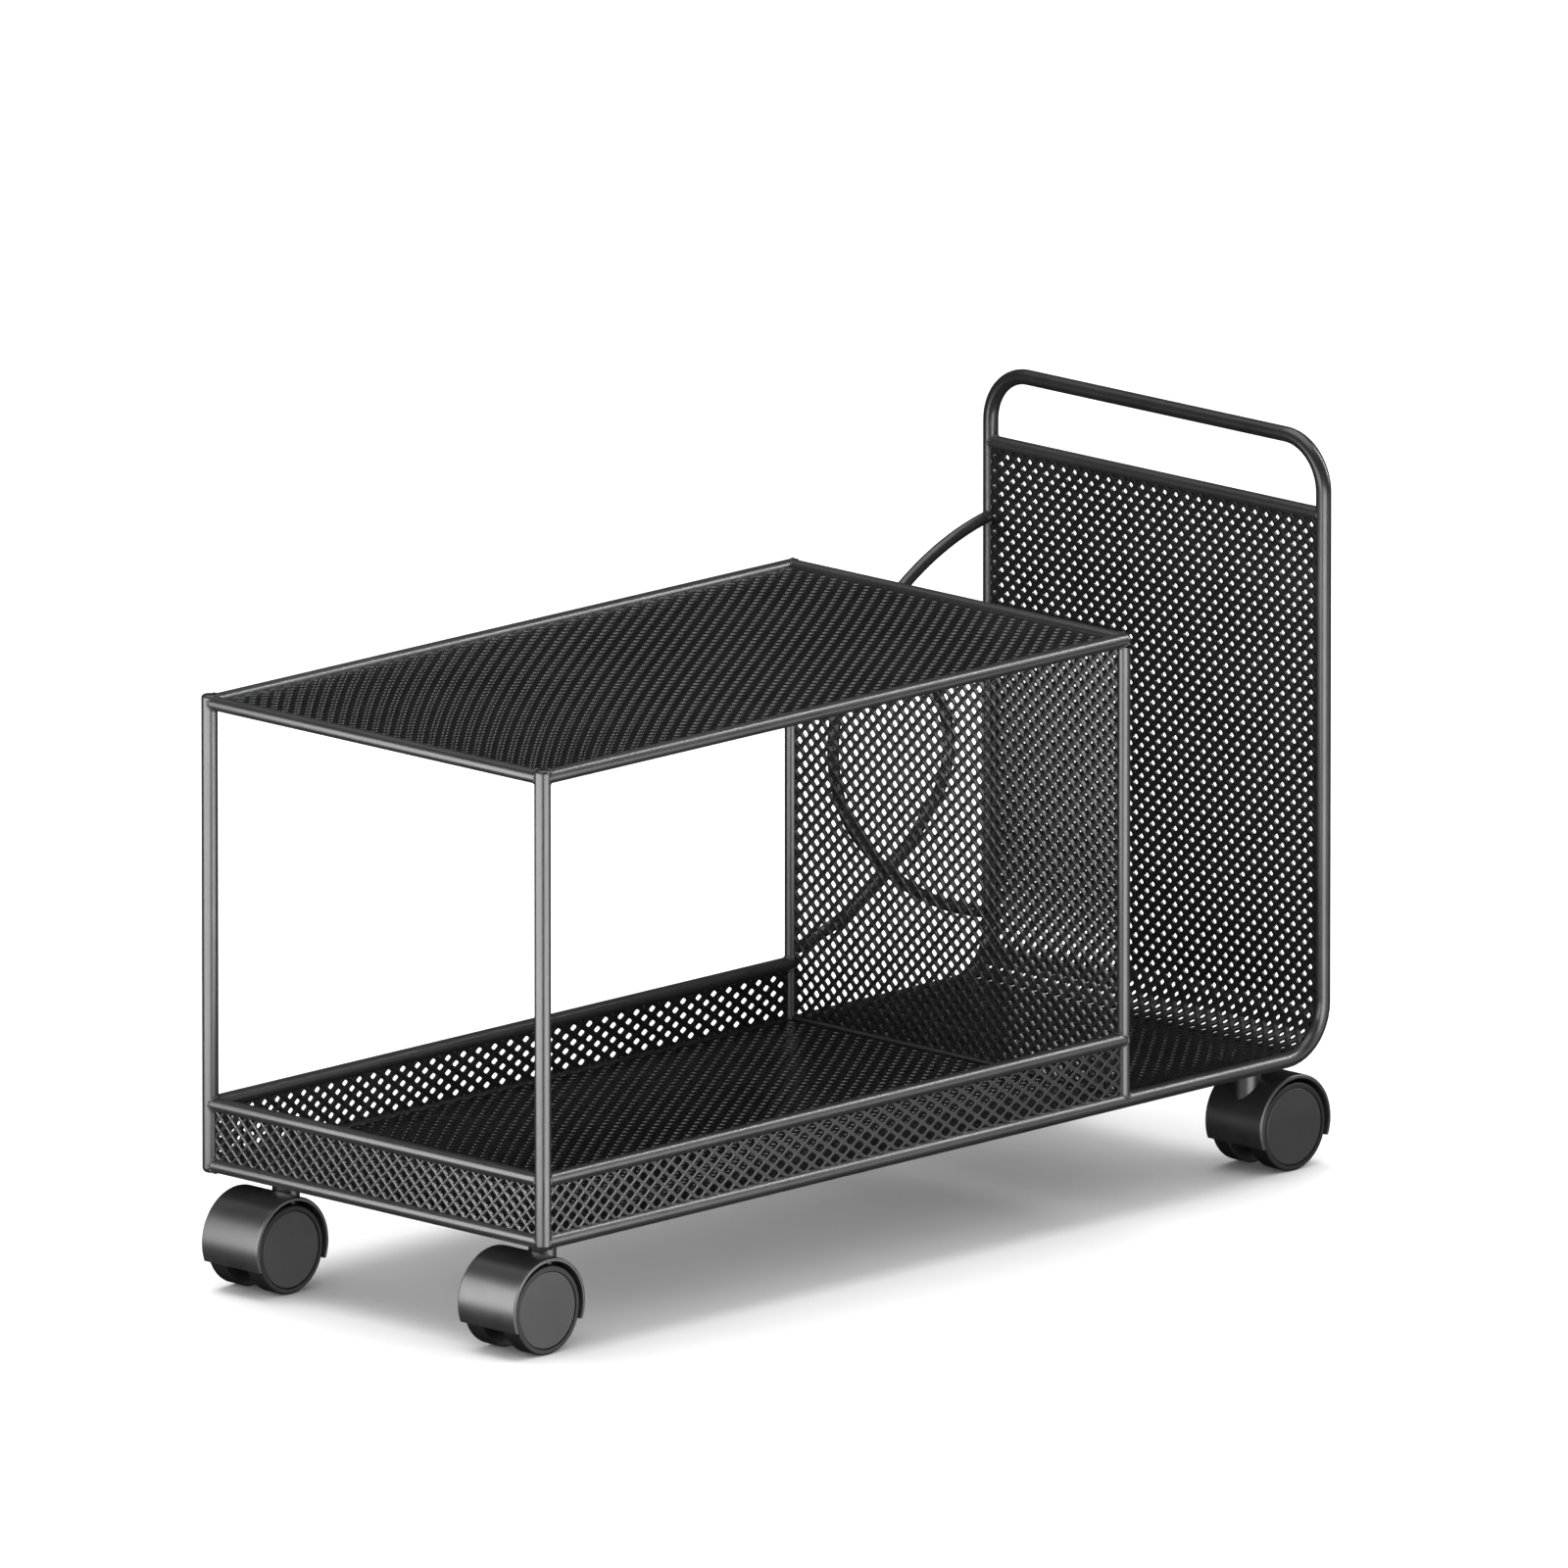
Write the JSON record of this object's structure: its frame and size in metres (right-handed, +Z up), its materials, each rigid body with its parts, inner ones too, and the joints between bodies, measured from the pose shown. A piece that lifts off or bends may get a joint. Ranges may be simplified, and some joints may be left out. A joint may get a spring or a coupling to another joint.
{
  "type": "mobile printer stand",
  "caption": "Low rolling stand in tube and expanded metal: mesh shelf over a rimmed tray, tall computer bay with a handle end, twin-wheel casters.",
  "frame": {"origin": "floor level under the middle of the stand", "axes": "+X toward the handle end, +Y toward the side with the back guard rods, +Z up"},
  "size_m": [0.6734, 0.2764, 0.4355],
  "materials": {
    "frame_paint": "satin powder coat, charcoal",
    "mesh_paint": "satin powder coat, charcoal",
    "plated_steel": "dark zinc plate",
    "hood_plastic": "smooth moulded, dark grey",
    "wheel_nylon": "smooth moulded, black",
    "cap_plastic": "fine satin, dark grey"
  },
  "bodies": {
    "frame": {"near_side_tube": "frame_paint", "far_side_tube": "frame_paint", "handle_tube": "frame_paint", "handle_spigots": "frame_paint", "handle_crossbar": "frame_paint", "nose_bottom_rail": "frame_paint", "near_nose_post": "frame_paint", "far_nose_post": "frame_paint", "near_divider_post": "frame_paint", "far_divider_post": "frame_paint", "nose_post_caps": "frame_paint", "shelf_nose_rail": "frame_paint", "shelf_near_rail": "frame_paint", "shelf_far_rail": "frame_paint", "shelf_divider_rail": "frame_paint", "tray_nose_rim": "frame_paint", "tray_near_rim": "frame_paint", "tray_far_rim": "frame_paint", "divider_base_wire": "frame_paint", "upright_guard_rod": "frame_paint", "divider_guard_rod": "frame_paint", "nose_caster_strap": "frame_paint", "handle_caster_strap": "frame_paint", "shelf_mesh": "mesh_paint", "tray_floor_mesh": "mesh_paint", "bay_mesh": "mesh_paint", "divider_mesh": "mesh_paint", "nose_wall_mesh": "mesh_paint", "near_wall_mesh": "mesh_paint", "far_wall_mesh": "mesh_paint", "caster_weld_nuts": "plated_steel", "nose_near_caster_stem": "plated_steel", "nose_far_caster_stem": "plated_steel", "handle_near_caster_stem": "plated_steel", "handle_far_caster_stem": "plated_steel"},
    "nose_near_swivel": {"nose_near_caster_hood": "hood_plastic", "nose_near_caster_axle": "plated_steel"},
    "nose_near_outboard_wheel": {"nose_near_caster_outboard_wheel": "wheel_nylon", "nose_near_caster_outboard_cap": "cap_plastic"},
    "nose_near_inboard_wheel": {"nose_near_caster_inboard_wheel": "wheel_nylon", "nose_near_caster_inboard_cap": "cap_plastic"},
    "nose_far_swivel": {"nose_far_caster_hood": "hood_plastic", "nose_far_caster_axle": "plated_steel"},
    "nose_far_outboard_wheel": {"nose_far_caster_outboard_wheel": "wheel_nylon", "nose_far_caster_outboard_cap": "cap_plastic"},
    "nose_far_inboard_wheel": {"nose_far_caster_inboard_wheel": "wheel_nylon", "nose_far_caster_inboard_cap": "cap_plastic"},
    "handle_near_swivel": {"handle_near_caster_hood": "hood_plastic", "handle_near_caster_axle": "plated_steel"},
    "handle_near_outboard_wheel": {"handle_near_caster_outboard_wheel": "wheel_nylon", "handle_near_caster_outboard_cap": "cap_plastic"},
    "handle_near_inboard_wheel": {"handle_near_caster_inboard_wheel": "wheel_nylon", "handle_near_caster_inboard_cap": "cap_plastic"},
    "handle_far_swivel": {"handle_far_caster_hood": "hood_plastic", "handle_far_caster_axle": "plated_steel"},
    "handle_far_outboard_wheel": {"handle_far_caster_outboard_wheel": "wheel_nylon", "handle_far_caster_outboard_cap": "cap_plastic"},
    "handle_far_inboard_wheel": {"handle_far_caster_inboard_wheel": "wheel_nylon", "handle_far_caster_inboard_cap": "cap_plastic"}
  },
  "joints": [
    {"name": "nose_near_swivel_turn", "type": "hinge", "parent": "frame", "child": "nose_near_swivel", "pos_m": [-0.29025, -0.103, 0.05], "axis": [0, 0, 1], "continuous": true},
    {"name": "nose_near_outboard_spin", "type": "hinge", "parent": "nose_near_swivel", "child": "nose_near_outboard_wheel", "pos_m": [-0.30725, -0.103, 0.026], "axis": [0, 1, 0], "continuous": true},
    {"name": "nose_near_inboard_spin", "type": "hinge", "parent": "nose_near_swivel", "child": "nose_near_inboard_wheel", "pos_m": [-0.30725, -0.103, 0.026], "axis": [0, 1, 0], "continuous": true},
    {"name": "nose_far_swivel_turn", "type": "hinge", "parent": "frame", "child": "nose_far_swivel", "pos_m": [-0.29025, 0.103, 0.05], "axis": [0, 0, 1], "continuous": true},
    {"name": "nose_far_outboard_spin", "type": "hinge", "parent": "nose_far_swivel", "child": "nose_far_outboard_wheel", "pos_m": [-0.30725, 0.103, 0.026], "axis": [0, 1, 0], "continuous": true},
    {"name": "nose_far_inboard_spin", "type": "hinge", "parent": "nose_far_swivel", "child": "nose_far_inboard_wheel", "pos_m": [-0.30725, 0.103, 0.026], "axis": [0, 1, 0], "continuous": true},
    {"name": "handle_near_swivel_turn", "type": "hinge", "parent": "frame", "child": "handle_near_swivel", "pos_m": [0.29025, -0.103, 0.05], "axis": [0, 0, 1], "continuous": true},
    {"name": "handle_near_outboard_spin", "type": "hinge", "parent": "handle_near_swivel", "child": "handle_near_outboard_wheel", "pos_m": [0.30725, -0.103, 0.026], "axis": [0, 1, 0], "continuous": true},
    {"name": "handle_near_inboard_spin", "type": "hinge", "parent": "handle_near_swivel", "child": "handle_near_inboard_wheel", "pos_m": [0.30725, -0.103, 0.026], "axis": [0, 1, 0], "continuous": true},
    {"name": "handle_far_swivel_turn", "type": "hinge", "parent": "frame", "child": "handle_far_swivel", "pos_m": [0.29025, 0.103, 0.05], "axis": [0, 0, 1], "continuous": true},
    {"name": "handle_far_outboard_spin", "type": "hinge", "parent": "handle_far_swivel", "child": "handle_far_outboard_wheel", "pos_m": [0.30725, 0.103, 0.026], "axis": [0, 1, 0], "continuous": true},
    {"name": "handle_far_inboard_spin", "type": "hinge", "parent": "handle_far_swivel", "child": "handle_far_inboard_wheel", "pos_m": [0.30725, 0.103, 0.026], "axis": [0, 1, 0], "continuous": true}
  ]
}
